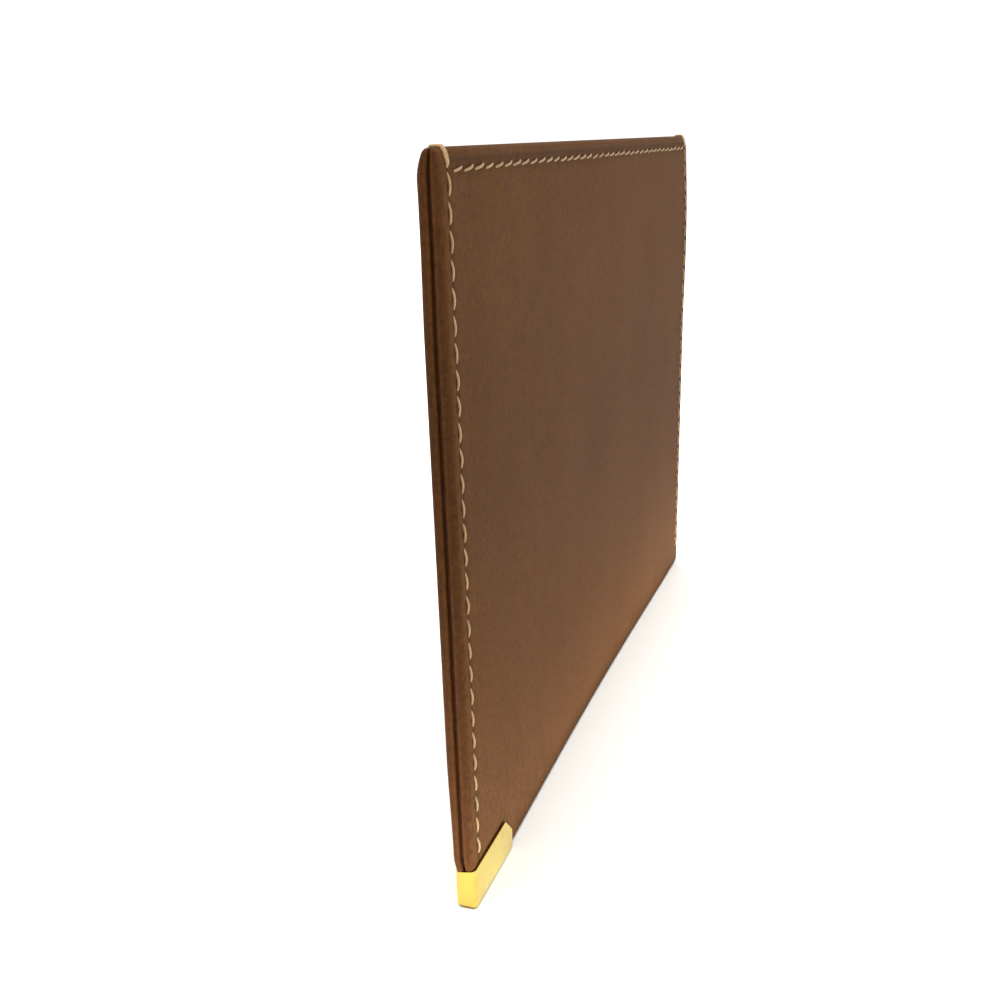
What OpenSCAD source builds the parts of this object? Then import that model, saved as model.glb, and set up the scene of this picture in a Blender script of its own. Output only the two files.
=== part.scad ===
// Card holder: a flat leather sleeve with an open mouth, standing on its folded bottom edge.
// Millimetres. X runs along the width, with the brass corner guard at the left, -X end.
// Y runs through the thickness, with the front wall at -Y. Z is up.
// The origin is the middle of the bottom edge, on the surface that the holder stands on.

/* [Body] */
// Width of the holder
body_w = 105; // [98:1:115]
// Height of the leather, from the floor to the mouth edge
body_h = 75; // [70:1:85]
// Gap between the two walls: the card pocket, and the slit that shows along the sides
pocket_gap = 0.4; // [0.4:0.1:0.8]

/* [Leather layers] */
// Thickness of the outer leather
skin_t = 0.5; // [0.4:0.05:0.6]
// Thickness of the stiffening board in each wall
board_t = 0.2; // [0.15:0.05:0.3]
// Thickness of the pocket lining, and of the pared hems that it meets
lining_t = 0.3; // [0.25:0.05:0.4]
// Width of the hems turned in along the sides
side_hem = 6; // [5:0.5:8]
// Height of the hem turned in along the mouth
mouth_hem = 8; // [6:0.5:10]
// Radius of the turned side and mouth edges
edge_r = 0.4; // [0.2:0.05:0.45]
// Radius of the long edges where the leather folds under the bottom
fold_r = 0.6; // [0.5:0.05:1]
// Width of the filler strip in each side seam
filler_w = 4.7; // [3.5:0.1:4.9]
// Depth of the filler strip behind the side edges
filler_inset = 0.5; // [0.5:0.1:1.2]

/* [Stitching] */
// Distance of the side seams from the side edges
seam_margin = 1.8; // [1.6:0.1:2.4]
// Distance of the mouth stitching from the mouth edge
mouth_margin = 1.85; // [1.6:0.05:2.4]
// Pitch of the stitches in the side seams
seam_pitch = 2.42; // [2.2:0.01:2.8]
// Pitch aimed at for the stitches along the mouth
mouth_pitch = 2.69; // [2.4:0.01:3]
// Distance from a side seam to the first hole of the mouth stitching
mouth_lead = 1; // [0.6:0.05:1.4]
// Diameter of the thread where it lies on the leather
thread_d = 0.32; // [0.3:0.02:0.5]
// Diameter of the thread where it is pulled through the leather
leg_d = 0.28; // [0.24:0.02:0.3]
// Diameter of the awl holes
hole_d = 0.36; // [0.32:0.02:0.44]

/* [Corner guard] */
// Length of the brass guard along the bottom edge
guard_l = 11.2; // [9:0.1:14]
// Height of the brass guard
guard_h = 4.55; // [3.5:0.05:5]
// Thickness of the brass sheet
guard_t = 0.3; // [0.25:0.05:0.5]
// Cut-off at the guard's upper corner, along the bottom edge
guard_cut_x = 1.8; // [1:0.1:3]
// Cut-off at the guard's upper corner, downwards
guard_cut_z = 2; // [1:0.1:3]
// How far the guard stands proud of the front wall
guard_proud = 0.25; // [0.2:0.05:0.35]
// How far the guard's back plate is sunk behind the face of the back wall
guard_sunk = 0.35; // [0.1:0.05:0.45]
// Radius of the guard's outer edges
guard_r = 0.35; // [0.2:0.05:0.5]

/* [Hidden] */

// Round things that stay exact
$fn = 32;
// How far a shape that cuts runs on past what it cuts
over = 1;
// Gap left between two pieces so that curved faces don't bite into each other
ease = 0.01;

leather_col = [0.42, 0.27, 0.18];
filler_col = [0.17, 0.08, 0.05];
lining_col = [0.55, 0.40, 0.27];
board_col = [0.62, 0.55, 0.45];
thread_col = [0.80, 0.70, 0.50];
brass_col = [0.85, 0.66, 0.28];

wall_t = skin_t + board_t + lining_t;
half_t = pocket_gap / 2 + wall_t;
half_w = body_w / 2;
half_gap = pocket_gap / 2;
// Radius of the turned edges, which is at most half a wall
turned_r = min(edge_r, wall_t / 2 - ease);
// Height at which the bottom fold ends and the flat walls begin
fold_h = half_t;
// Radius inside the fold, which is no tighter than leather bends
inner_r = max(fold_r - skin_t, 0.1);
// Half the width of the lining, which fits between the side hems
lining_x = half_w - side_hem - ease;

seam_x = half_w - seam_margin;
row_z = body_h - mouth_margin;
// The left seam stops just above the guard, and the right seam runs down to the bottom fold
left_stitches = floor((row_z - guard_h - leg_d) / seam_pitch);
right_stitches = floor((row_z - fold_h - leg_d) / seam_pitch);
mouth_span = 2 * (seam_x - mouth_lead);
mouth_stitches = round(mouth_span / mouth_pitch);
mouth_step = mouth_span / mouth_stitches;
// Thread pressed flat against the inside of a wall: its thickness and width
flat_t = 0.12;
flat_w = 0.3;
// How far a stitch stops short of the middle of the holes at its two ends
bare = leg_d * 0.4;
// Distance of the stitches' middle line from the middle of the holder
face_y = half_t + thread_d / 2 + ease;

guard_front = -(half_t + guard_proud);
guard_back = half_t - guard_sunk;

// Cylinder along X, Y or Z from one end to the other
module rod_x(x0, x1, d) translate([x0, 0, 0]) rotate([0, 90, 0]) cylinder(d = d, h = x1 - x0);
module rod_y(y0, y1, d) translate([0, y0, 0]) rotate([-90, 0, 0]) cylinder(d = d, h = y1 - y0);
module rod_z(z0, z1, d) translate([0, 0, z0]) cylinder(d = d, h = z1 - z0);

// Box between two corners
module box(a, b) translate(a) cube(b - a);

// Rectangle between two corners, with its four corners rounded
module round_box(a, b, r) {
    translate(a + [r, 0]) square([b.x - a.x - 2 * r, b.y - a.y]);
    translate(a + [0, r]) square([b.x - a.x, b.y - a.y - 2 * r]);
    for (x = [a.x + r, b.x - r], y = [a.y + r, b.y - r])
        translate([x, y]) circle(r = r);
}

// Extrusions of a flat outline along X (drawn in Y, Z) and along Y (drawn in X, Z)
module along_x(x0, x1) translate([x0, 0, 0]) rotate([90, 0, 90]) linear_extrude(x1 - x0) children();
module along_y(y0, y1) translate([0, y1, 0]) rotate([90, 0, 0]) linear_extrude(y1 - y0) children();

// Space taken from the leather where the guard grips the bottom left corner:
// its footprint, less the leather that stays inside the brass channel
module guard_notch() {
    x0 = -half_w;
    difference() {
        along_y(-half_t - over, half_t + over) guard_outline(over);
        box([x0 + guard_t + ease, guard_front + guard_t + ease, guard_t + ease],
            [x0 + guard_l + over, guard_back - guard_t - ease, guard_h + over]);
    }
}

// Outline of the guard in X, Z, grown past the left end and the bottom by spare
module guard_outline(spare = 0) {
    polygon([[-half_w - spare, -spare],
             [-half_w + guard_l, -spare],
             [-half_w + guard_l, guard_h - guard_cut_z],
             [-half_w + guard_l - guard_cut_x, guard_h],
             [-half_w - spare, guard_h]]);
}

// Awl holes for both side seams and for the mouth stitching, through a wall that spans Y
module seam_holes(y0, y1) {
    for (i = [0 : left_stitches])
        translate([-seam_x, 0, row_z - i * seam_pitch]) rod_y(y0, y1, hole_d);
    for (i = [0 : right_stitches])
        translate([seam_x, 0, row_z - i * seam_pitch]) rod_y(y0, y1, hole_d);
}
module mouth_holes(y0, y1) {
    for (i = [0 : mouth_stitches])
        translate([-mouth_span / 2 + i * mouth_step, 0, row_z]) rod_y(y0, y1, hole_d);
}

// One wall of the outer leather, drawn as the front wall. Its side and mouth edges are
// turned over the board into pared hems, and the lining fills the space inside the hems.
module leather_wall() {
    difference() {
        intersection() {
            translate([0, 0, fold_h]) linear_extrude(body_h)
                round_box([-half_w, -half_t], [half_w, -half_gap], turned_r);
            along_x(-half_w, half_w)
                round_box([-half_t, -over], [-half_gap, body_h], turned_r);
        }
        // Slot for the board
        box([-half_w + skin_t, -half_t + skin_t, fold_h - over],
            [half_w - skin_t, -half_gap - lining_t, body_h - skin_t]);
        // Window for the lining
        box([-half_w + side_hem, -half_t + skin_t, fold_h - over],
            [half_w - side_hem, 0, body_h - mouth_hem]);
        seam_holes(-half_t - over, 0);
        mouth_holes(-half_t - over, 0);
    }
}

module front_leather() {
    color(leather_col) difference() {
        leather_wall();
        guard_notch();
    }
}

module back_leather() {
    color(leather_col) difference() {
        mirror([0, 1, 0]) leather_wall();
        guard_notch();
    }
}

// The same piece of leather where it folds under the bottom
module bottom_leather() {
    // The outlines run on above the fold, so that only their lower corners are left
    top = fold_h + 2 * fold_r;
    color(leather_col) difference() {
        along_x(-half_w, half_w) intersection() {
            round_box([-half_t, 0], [half_t, top], fold_r);
            translate([-half_t, 0]) square([2 * half_t, fold_h]);
        }
        along_x(-half_w - over, half_w + over)
            round_box([-half_t + skin_t, skin_t], [half_t - skin_t, top], inner_r);
        guard_notch();
    }
}

// Stiffening board inside a wall, drawn as the front one
module board() {
    difference() {
        box([-half_w + skin_t + ease, -half_t + skin_t, fold_h],
            [half_w - skin_t - ease, -half_gap - lining_t, body_h - skin_t - ease]);
        seam_holes(-half_t - over, 0);
        mouth_holes(-half_t - over, 0);
    }
}

module front_board() {
    color(board_col) difference() {
        board();
        guard_notch();
    }
}

module back_board() {
    color(board_col) difference() {
        mirror([0, 1, 0]) board();
        guard_notch();
    }
}

// Lining of the pocket: one strip that runs down one wall, turns at the bottom and comes up
// the other wall. Its two flat lengths and the turn between them meet face to face.
module lining_length() {
    box([-lining_x, -half_gap - lining_t, fold_h], [lining_x, -half_gap, body_h - mouth_hem - ease]);
}

module front_lining() color(lining_col) lining_length();
module back_lining() color(lining_col) mirror([0, 1, 0]) lining_length();

module lining_turn() {
    outer = half_gap + lining_t;
    color(lining_col) along_x(-lining_x, lining_x) translate([0, fold_h]) difference() {
        circle(r = outer);
        circle(r = half_gap);
        translate([-outer - over, 0]) square(2 * (outer + over));
    }
}

// Filler strip between the walls in a side seam, drawn at the left side
module filler(stitches) {
    x0 = -half_w + filler_inset;
    difference() {
        box([x0, -half_gap, fold_h], [x0 + filler_w, half_gap, row_z - leg_d / 2 - hole_d]);
        for (i = [1 : stitches])
            translate([-seam_x, 0, row_z - i * seam_pitch]) rod_y(-over, over, hole_d);
    }
}

module left_filler() color(filler_col) filler(left_stitches);
module right_filler() color(filler_col) mirror([1, 0, 0]) filler(right_stitches);

// Brass channel that grips the bottom left corner: two plates, a floor and an end wall
module corner_guard() {
    x0 = -half_w;
    x1 = -half_w + guard_l;
    color(brass_col) difference() {
        intersection() {
            along_y(guard_front, guard_back) guard_outline();
            along_x(x0, x1)
                round_box([guard_front, 0], [guard_back, guard_h + over], guard_r);
            linear_extrude(guard_h)
                round_box([x0, guard_front], [x1 + over, guard_back], guard_r);
        }
        box([x0 + guard_t, guard_front + guard_t, guard_t],
            [x1 + over, guard_back - guard_t, guard_h + over]);
    }
}

// Saddle stitching down a side seam: a leg in each hole, and a stitch on both faces
// between one hole and the next. The first stitch is locked over the mouth edge.
module seam_thread(stitches) {
    for (i = [0 : stitches])
        translate([0, 0, row_z - i * seam_pitch]) rod_y(-face_y, face_y, leg_d);
    for (i = [0 : stitches - 1], side = [-1, 1])
        translate([0, side * face_y, row_z - i * seam_pitch])
            rod_z(-seam_pitch + bare, -bare, thread_d);
    mouth_lock();
}

// Thread that wraps over the mouth edge, from the first hole on one face to the other
module mouth_lock() {
    turn_r = turned_r + thread_d / 2 + ease;
    turn_z = body_h - turned_r;
    turn_y = face_y - turn_r;
    for (side = [0, 1])
        mirror([0, side, 0]) {
            translate([0, -face_y, 0]) rod_z(row_z, turn_z, thread_d);
            translate([0, -turn_y, turn_z]) rotate([90, 0, -90])
                rotate_extrude(angle = 90) translate([turn_r, 0]) circle(d = thread_d);
        }
    translate([0, 0, turn_z + turn_r]) rod_y(-turn_y, turn_y, thread_d);
}

module left_seam_thread() color(thread_col) translate([-seam_x, 0, 0]) seam_thread(left_stitches);
module right_seam_thread() color(thread_col) translate([seam_x, 0, 0]) seam_thread(right_stitches);

// Stitching along the mouth of one wall, drawn on the front wall. Inside the pocket the
// thread is pressed flat against the hem.
module mouth_thread() {
    translate([-mouth_span / 2, 0, row_z]) {
        for (i = [0 : mouth_stitches])
            translate([i * mouth_step, 0, 0]) rod_y(-face_y, -half_gap + flat_t, leg_d);
        for (i = [0 : mouth_stitches - 1])
            translate([i * mouth_step, 0, 0]) {
                translate([0, -face_y, 0]) rod_x(bare, mouth_step - bare, thread_d);
                box([bare, -half_gap + ease, -flat_w / 2],
                    [mouth_step - bare, -half_gap + flat_t - ease, flat_w / 2]);
            }
    }
}

module front_mouth_thread() color(thread_col) mouth_thread();
module back_mouth_thread() color(thread_col) mirror([0, 1, 0]) mouth_thread();

front_leather();
back_leather();
bottom_leather();
front_board();
back_board();
front_lining();
back_lining();
lining_turn();
left_filler();
right_filler();
corner_guard();
left_seam_thread();
right_seam_thread();
front_mouth_thread();
back_mouth_thread();
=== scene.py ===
"""Looks of the leather card holder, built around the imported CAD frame.

Shapes are worked out in millimetres and become metres when a mesh is made. X runs along the
width with the brass guard at the left (-X) end, the front wall is at -Y, and Z is up.
"""

import math

import bpy
import bmesh
import numpy as np
from mathutils import Matrix, Vector


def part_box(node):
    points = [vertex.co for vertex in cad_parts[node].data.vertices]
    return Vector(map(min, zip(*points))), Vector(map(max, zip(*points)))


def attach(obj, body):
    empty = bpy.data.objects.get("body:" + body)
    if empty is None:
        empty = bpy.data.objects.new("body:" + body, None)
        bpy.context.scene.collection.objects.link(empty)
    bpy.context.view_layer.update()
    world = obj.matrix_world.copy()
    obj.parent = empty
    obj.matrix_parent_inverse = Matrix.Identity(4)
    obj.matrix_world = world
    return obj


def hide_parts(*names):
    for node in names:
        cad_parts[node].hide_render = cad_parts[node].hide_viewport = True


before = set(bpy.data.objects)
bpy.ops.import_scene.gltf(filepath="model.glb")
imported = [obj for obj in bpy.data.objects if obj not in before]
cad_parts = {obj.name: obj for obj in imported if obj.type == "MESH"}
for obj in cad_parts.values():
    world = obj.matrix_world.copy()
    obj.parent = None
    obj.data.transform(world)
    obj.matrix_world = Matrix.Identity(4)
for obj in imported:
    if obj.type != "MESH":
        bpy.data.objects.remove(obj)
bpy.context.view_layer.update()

MM = 0.001


# ---------------------------------------------------------------- sizes from the frame

def box_mm(node):
    """Lowest and highest corner of a CAD node, in millimetres."""
    lo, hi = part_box(node)
    return np.array(lo) / MM, np.array(hi) / MM


wall_lo, wall_hi = box_mm("front_leather")
lining_lo, lining_hi = box_mm("back_lining")
guard_lo, guard_hi = box_mm("corner_guard")
left_lo, left_hi = box_mm("left_seam_thread")
right_lo, _ = box_mm("right_seam_thread")
row_lo, row_hi = box_mm("front_mouth_thread")

HALF_W = wall_hi[0]
HEIGHT = wall_hi[2]
HALF_T = -wall_lo[1]
HALF_GAP = -wall_hi[1]
WALL_T = HALF_T - HALF_GAP
EDGE_R = WALL_T / 2
MID_Y = HALF_GAP + EDGE_R
SEAM_X = -(left_lo[0] + left_hi[0]) / 2
ROW_Z = (row_lo[2] + row_hi[2]) / 2

# Sizes that no box shows: stitch pitches, the thread in the holes, the sheet of the guard and
# the cut at its corner
SEAM_PITCH = 2.42
MOUTH_PITCH_AIM = 2.69
LEG_D = 0.28
GUARD_T = 0.3
GUARD_CUT_X = 1.8
GUARD_CUT_Z = 2.0
# Radius of the thread where it lies on the leather, drawn a little into it
THREAD_R = 0.13

ROW_X0 = row_lo[0] + LEG_D / 2
ROW_X1 = row_hi[0] - LEG_D / 2
MOUTH_STITCHES = round((ROW_X1 - ROW_X0) / MOUTH_PITCH_AIM)
MOUTH_PITCH = (ROW_X1 - ROW_X0) / MOUTH_STITCHES
LEFT_STITCHES = round((ROW_Z - left_lo[2] - LEG_D / 2) / SEAM_PITCH)
RIGHT_STITCHES = round((ROW_Z - right_lo[2] - LEG_D / 2) / SEAM_PITCH)
ROW_S = HEIGHT - ROW_Z

# The leather's middle surface runs down the front wall, turns twice under the bottom and
# runs up the back wall
FOLD_R = 0.6
TURN_R = FOLD_R - EDGE_R
STRAIGHT = HEIGHT - FOLD_R
TURN = math.pi / 2 * TURN_R
FLAT = 2 * (MID_Y - TURN_R)
S_END = 2 * STRAIGHT + 2 * TURN + FLAT


# ---------------------------------------------------------------- small helpers

def smoothstep(lo, hi, v):
    """0 below lo, 1 above hi, smooth between."""
    t = np.clip((v - lo) / (hi - lo), 0, 1)
    return t * t * (3 - 2 * t)


def bump(v, width):
    """1 at v = 0, falling off smoothly over width."""
    return np.exp(-(v / width) ** 2)


def waves(x, z, seed, length):
    """Smooth, slow undulation from -1 to 1 with features of about length mm."""
    rng = np.random.default_rng(seed)
    total = 0
    for _ in range(6):
        ang = rng.uniform(0, 2 * math.pi)
        k = 2 * math.pi / (length * rng.uniform(0.7, 1.6))
        total = total + np.sin(k * (x * math.cos(ang) + z * math.sin(ang)) + rng.uniform(0, 6.28))
    return total / 4


def make_mesh(name, points, faces):
    """A smooth-shaded mesh object, fixed to the frame, from points in millimetres."""
    mesh = bpy.data.meshes.new(name)
    mesh.from_pydata((np.asarray(points) * MM).tolist(), [], faces)
    mesh.validate()
    mesh.polygons.foreach_set("use_smooth", [True] * len(mesh.polygons))
    obj = bpy.data.objects.new(name, mesh)
    bpy.context.scene.collection.objects.link(obj)
    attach(obj, "root")
    return obj


def face_out(obj):
    """Turns every face to point outwards."""
    bm = bmesh.new()
    bm.from_mesh(obj.data)
    bmesh.ops.recalc_face_normals(bm, faces=bm.faces)
    bm.to_mesh(obj.data)
    bm.free()


def apply_modifiers(obj):
    """Replaces an object's mesh with the result of its modifiers."""
    deps = bpy.context.evaluated_depsgraph_get()
    mesh = bpy.data.meshes.new_from_object(obj.evaluated_get(deps))
    obj.modifiers.clear()
    obj.data = mesh


def point_attribute(obj, name, values):
    """Stores one number per vertex for the material to read."""
    attr = obj.data.attributes.new(name, "FLOAT", "POINT")
    attr.data.foreach_set("value", np.asarray(values, dtype=np.float32))


# ---------------------------------------------------------------- how the whole holder bends

# How far the middle of the walls stands back from the seams, at the bottom and at the mouth
BOW_BOTTOM = 0.6
BOW_TOP = 0.25
# The far edge's offset forwards at the bottom, and how much it grows per millimetre of height
LEAN_START = -0.3
LEAN_RATE = 0.0125


def bow(p):
    """The holder has taken a slight set: its middle stands back from its two side seams, and
    its far edge leans forward at the top."""
    p = np.array(p, dtype=float)
    z = p[..., 2]
    across = 1 - np.clip(p[..., 0] / HALF_W, -1, 1) ** 2
    depth = BOW_BOTTOM + (BOW_TOP - BOW_BOTTOM) * np.clip(z / HEIGHT, 0, 1)
    far = np.clip((p[..., 0] + HALF_W) / (2 * HALF_W), 0, 1) ** 3
    # It swells a little below the mouth and comes back at it
    lean = LEAN_START + LEAN_RATE * z + 0.2 * bump(z - 58, 9) - 0.3 * smoothstep(64, HEIGHT, z)
    p[..., 1] += depth * across ** 1.6 - lean * far
    return p


# Height over which the lock stitches draw the walls in, and by what share of their distance
LOCK_TOP = 2.6
LOCK_PULL = 0.52
# The two walls meet a little in front of the holder's middle
ARCH_Y = -0.4


def lock_pull(p):
    """The lock stitches over the mouth draw the two walls together into a rounded arch."""
    p = np.array(p, dtype=float)
    inward = np.clip(SEAM_X - np.abs(p[..., 0]), 0, None)
    outward = np.clip(np.abs(p[..., 0]) - SEAM_X, 0, None)
    near = bump(inward, 1.9) * bump(outward, 6)
    up = np.clip((p[..., 2] - (HEIGHT - LOCK_TOP)) / LOCK_TOP, 0, 1)
    p[..., 1] = ARCH_Y + (p[..., 1] - ARCH_Y) * (1 - LOCK_PULL * near * up ** 1.8)
    p[..., 2] -= 0.06 * near * up ** 2
    return p


def settle(p):
    """Every deformation that all the pieces share."""
    return bow(lock_pull(p))


# ---------------------------------------------------------------- outer leather

def middle(s):
    """Point (y, z) and outward normal (ny, nz) of the leather's middle surface at s."""
    s = np.asarray(s, dtype=float)
    first = np.clip((s - STRAIGHT) / TURN_R, 0, math.pi / 2)
    second = np.clip((s - STRAIGHT - TURN - FLAT) / TURN_R, 0, math.pi / 2)
    along = np.clip(s - STRAIGHT - TURN, 0, FLAT)
    turn = first + second
    ny, nz = -np.cos(turn), -np.sin(turn)
    y = -MID_Y + TURN_R + along + TURN_R * ny
    z = FOLD_R + TURN_R * nz
    z = np.where(s < STRAIGHT, HEIGHT - s, z)
    z = np.where(s > S_END - STRAIGHT, FOLD_R + s - (S_END - STRAIGHT), z)
    return y, z, ny, nz


# The stitches lean: each one starts at one end of its slanted awl slit and stops at the
# other end of the next
SLIT_HALF = 0.15
MOUTH_SLIT_HALF = 0.27
# Heights and depths of the relief on the leather
GROOVE_WAVE = 0.045
PIT_DEPTH = 0.10
SHOULDER = 0.03
SEAM_CREST = 0.05
MOUTH_CREST = 0.10
VALLEY_DEPTH = 0.10
PILLOW = 0.05
UNDULATION = 0.045
GUARD_DENT = 0.07
# The turned mouth edge is a firm roll, with a crease this far over the stitches
VALLEY_RISE = 0.75


def awl_pit(along_row, across_row):
    """1 in the middle of a slanted awl slit, falling off round it."""
    lean = across_row * 0.9 + along_row * 0.45
    return np.exp(-(lean / 0.2) ** 2 - ((along_row - across_row * 0.5) / 0.26) ** 2)


def seam_relief(x, z, row_x, count):
    """Groove, holes and puffed edge along one side seam."""
    edge = np.sign(row_x)
    u = (x - row_x) * edge
    last = ROW_Z - count * SEAM_PITCH
    along = smoothstep(last - 1.2, last, z) * smoothstep(ROW_Z + 1.2, ROW_Z + 0.2, z)
    phase = np.cos(2 * math.pi * (ROW_Z - z) / SEAM_PITCH)
    hole_z = z - (ROW_Z - SEAM_PITCH * np.clip(np.round((ROW_Z - z) / SEAM_PITCH), 0, count))
    pit = awl_pit(hole_z, x - row_x)
    groove = (GROOVE_WAVE * phase - 0.04) * bump(u, 0.42) * along
    shadow = np.clip(bump(u, 0.28) * along * (0.20 + 0.04 * phase) + 0.4 * pit * along, 0, 1)
    crest = SEAM_CREST * bump(u - 0.95, 0.5) * (1 - 0.22 * phase * along)
    shoulder = SHOULDER * bump(u + 1.1, 0.6)
    return groove - PIT_DEPTH * pit * along + crest + shoulder, shadow


def mouth_relief(x, z):
    """Groove, holes, crease and puffed roll along the mouth."""
    v = z - ROW_Z
    along = smoothstep(ROW_X0 - 0.9, ROW_X0, x) * smoothstep(ROW_X1 + 0.9, ROW_X1, x)
    phase = np.cos(2 * math.pi * (x - ROW_X0) / MOUTH_PITCH)
    nearest = np.clip(np.round((x - ROW_X0) / MOUTH_PITCH), 0, MOUTH_STITCHES)
    hole_x = x - ROW_X0 - MOUTH_PITCH * nearest
    pit = awl_pit(-hole_x, v)
    between = smoothstep(SEAM_X + 0.4, SEAM_X - 0.8, np.abs(x))
    groove = (GROOVE_WAVE * phase - 0.05) * bump(v, 0.4) * along
    valley = bump(v - VALLEY_RISE, 0.3) * between
    shadow = np.clip(bump(v, 0.3) * along * (0.24 + 0.08 * phase) + 0.6 * pit * along, 0, 1)
    shadow = np.maximum(shadow, 0.42 * valley)
    crest = MOUTH_CREST * bump(v - 1.4, 0.4) * (1 - 0.12 * phase * along) * between
    shoulder = SHOULDER * bump(v + 1.1, 0.6) * between
    return groove - VALLEY_DEPTH * valley - PIT_DEPTH * pit * along + crest + shoulder, shadow


# The guard's rim slopes down a little towards the back
RIM_SLOPE = 0.18


def over_rim(y, z):
    """Height in millimetres over the guard's sloping rim."""
    return z - guard_hi[2] + RIM_SLOPE * np.clip(y + HALF_T, 0, 2 * HALF_T)


def outside_guard(x, y, z):
    """Distance in millimetres outside the guard's outline in X, Z; negative under it."""
    dx = x - guard_hi[0]
    dz = over_rim(y, z)
    cut = dx * GUARD_CUT_Z + (z - (guard_hi[2] - GUARD_CUT_Z)) * GUARD_CUT_X
    return np.maximum(np.maximum(dx, dz), cut / math.hypot(GUARD_CUT_X, GUARD_CUT_Z))


def relief(x, s):
    """Height of the outer face over its plain surface, and the painted shade along the stitching, in
    the mouth's crease and along the guard's edge.
    """
    y, z, ny, _ = middle(s)
    front = np.asarray(s) < S_END / 2
    left, left_shadow = seam_relief(x, z, -SEAM_X, LEFT_STITCHES)
    right, right_shadow = seam_relief(x, z, SEAM_X, RIGHT_STITCHES)
    mouth, mouth_shadow = mouth_relief(x, z)
    pillow = PILLOW * smoothstep(0, 7, HALF_W - np.abs(x) - 2) * smoothstep(0, 7, HEIGHT - z - 2)
    soft = UNDULATION * waves(x, z, 3, 17) * smoothstep(1, 6, HALF_W - np.abs(x))
    soft = np.where(front, soft, -soft)
    away = np.clip(outside_guard(x, y + ny * EDGE_R, z), 0, None)
    dent = -GUARD_DENT * bump(away, 0.16)
    shadow = np.clip(left_shadow + right_shadow + mouth_shadow, 0, 1)
    # Painted shadow along the guard's upper edge
    shadow = np.maximum(shadow, 0.7 * bump(away, 0.1))
    # The relief fades out over the bottom fold, so that nothing reaches below the floor
    return (left + right + mouth + pillow + soft + dent) * smoothstep(0.2, 2.5, z), shadow


LAYERS = [-HALF_T, -HALF_GAP, HALF_GAP, HALF_T]
# How much thinner the back wall gets towards the guard
BACK_THINNING = 0.24
# Where the inner faces of the walls lie when they are pressed together, and inside the brass
PRESSED = [-0.34, -0.06]
PRESSED_IN_BRASS = [-0.34, -0.08]
# Room left between the leather and the brass
EASE = 0.01


def squeeze(y, layers, amount):
    """Moves the faces of the two walls towards new places through the thickness."""
    held = np.clip(y, -HALF_T, HALF_T)
    return y + amount * (np.interp(held, LAYERS, layers) - held)


def grip(p):
    """The back wall thins towards the mouth's near corner and towards the brass, and both walls
    are pressed together inside it."""
    p = np.array(p, dtype=float)
    x, y, z = p[..., 0], p[..., 1], p[..., 2]
    away = outside_guard(x, y, z)
    front_room = guard_lo[1] + GUARD_T + EASE
    back_room = guard_hi[1] - GUARD_T - EASE
    thinned = HALF_T - BACK_THINNING
    near_top = np.clip(-x / HALF_W, 0, 1) ** 2 * smoothstep(58, 68, z)
    y = squeeze(y, [-HALF_T, -HALF_GAP - 0.05, HALF_GAP - 0.1, HALF_T - 0.12], near_top)
    y = squeeze(y, [-HALF_T, -HALF_GAP, HALF_GAP, thinned], smoothstep(14, 1.2, away))
    y = squeeze(y, [-HALF_T, *PRESSED, thinned], smoothstep(1.5, 0, away))
    end = smoothstep(0.12, -0.12, over_rim(p[..., 1], z)) * np.clip((3 - x - HALF_W) / 3, 0, 1)
    under = smoothstep(0.25, 0, away) * np.clip(1 - z / 3, 0, 1)
    inside = smoothstep(0.02, -0.12, away)
    p[..., 1] = squeeze(y, [front_room, *PRESSED_IN_BRASS, back_room], inside)
    p[..., 0] = x + (GUARD_T + 2 * EASE) * end
    p[..., 2] = z + (GUARD_T + 2 * EASE) * under
    return p


def on_leather(x, s, lift):
    """A point lift mm over the plain outer face at x, s, following every bend."""
    y, z, ny, nz = middle(s)
    out = EDGE_R + lift
    return settle(grip(np.stack([x + 0 * y, y + ny * out, z + nz * out], -1)))


# Width of the hems along the mouth and along the sides
HEM_S = HEIGHT - lining_hi[2]
HEM_X = HALF_W - lining_hi[0]
# Fine cells in the length of one stitch
STITCH_DIV = 9
# Stitches of the mouth row, and of the seams on either side of the fold, over the guard
GUARD_BLOCKS_X = 5
GUARD_BLOCKS_S = 6


def block_lines(stops, divisions):
    """All the fine lines of a row of blocks, and the index at which each block starts."""
    lines, starts = [stops[0]], [0]
    for a, b, n in zip(stops, stops[1:], divisions):
        lines += [a + (b - a) * (k + 1) / n for k in range(n)]
        starts.append(len(lines) - 1)
    return np.array(lines), starts


def x_blocks():
    """Blocks along the width: rounded edge, margin, one block for each mouth stitch."""
    stops = [-HALF_W, -HALF_W + EDGE_R, ROW_X0]
    divisions = [7, 9]
    for i in range(MOUTH_STITCHES):
        stops.append(ROW_X0 + (i + 1) * MOUTH_PITCH)
        divisions.append(STITCH_DIV)
    stops += [HALF_W - EDGE_R, HALF_W]
    divisions += [9, 7]
    return stops, divisions


def s_blocks():
    """Blocks along the leather's length: mouth, one for each seam stitch, and the bottom fold."""
    wall = [0, EDGE_R, ROW_S] + [ROW_S + (i + 1) * SEAM_PITCH for i in range(RIGHT_STITCHES)]
    divisions = [7, 6] + [STITCH_DIV] * RIGHT_STITCHES
    under = [STRAIGHT, STRAIGHT + TURN]
    stops = wall + under + [S_END - v for v in reversed(wall + under)]
    divisions = divisions + [6, 6, 6, 6, 6] + divisions[::-1]
    return stops, divisions


# How square the turned edges are outside and inside: 2 is a plain half round
OUTER_POWER = 2.0
INNER_POWER = 5.0
# Height of the band of painted shade halfway up the skin at the guard's end, and its half width
SHADE_BAND_Z = 50
SHADE_BAND_HALF = 15


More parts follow.
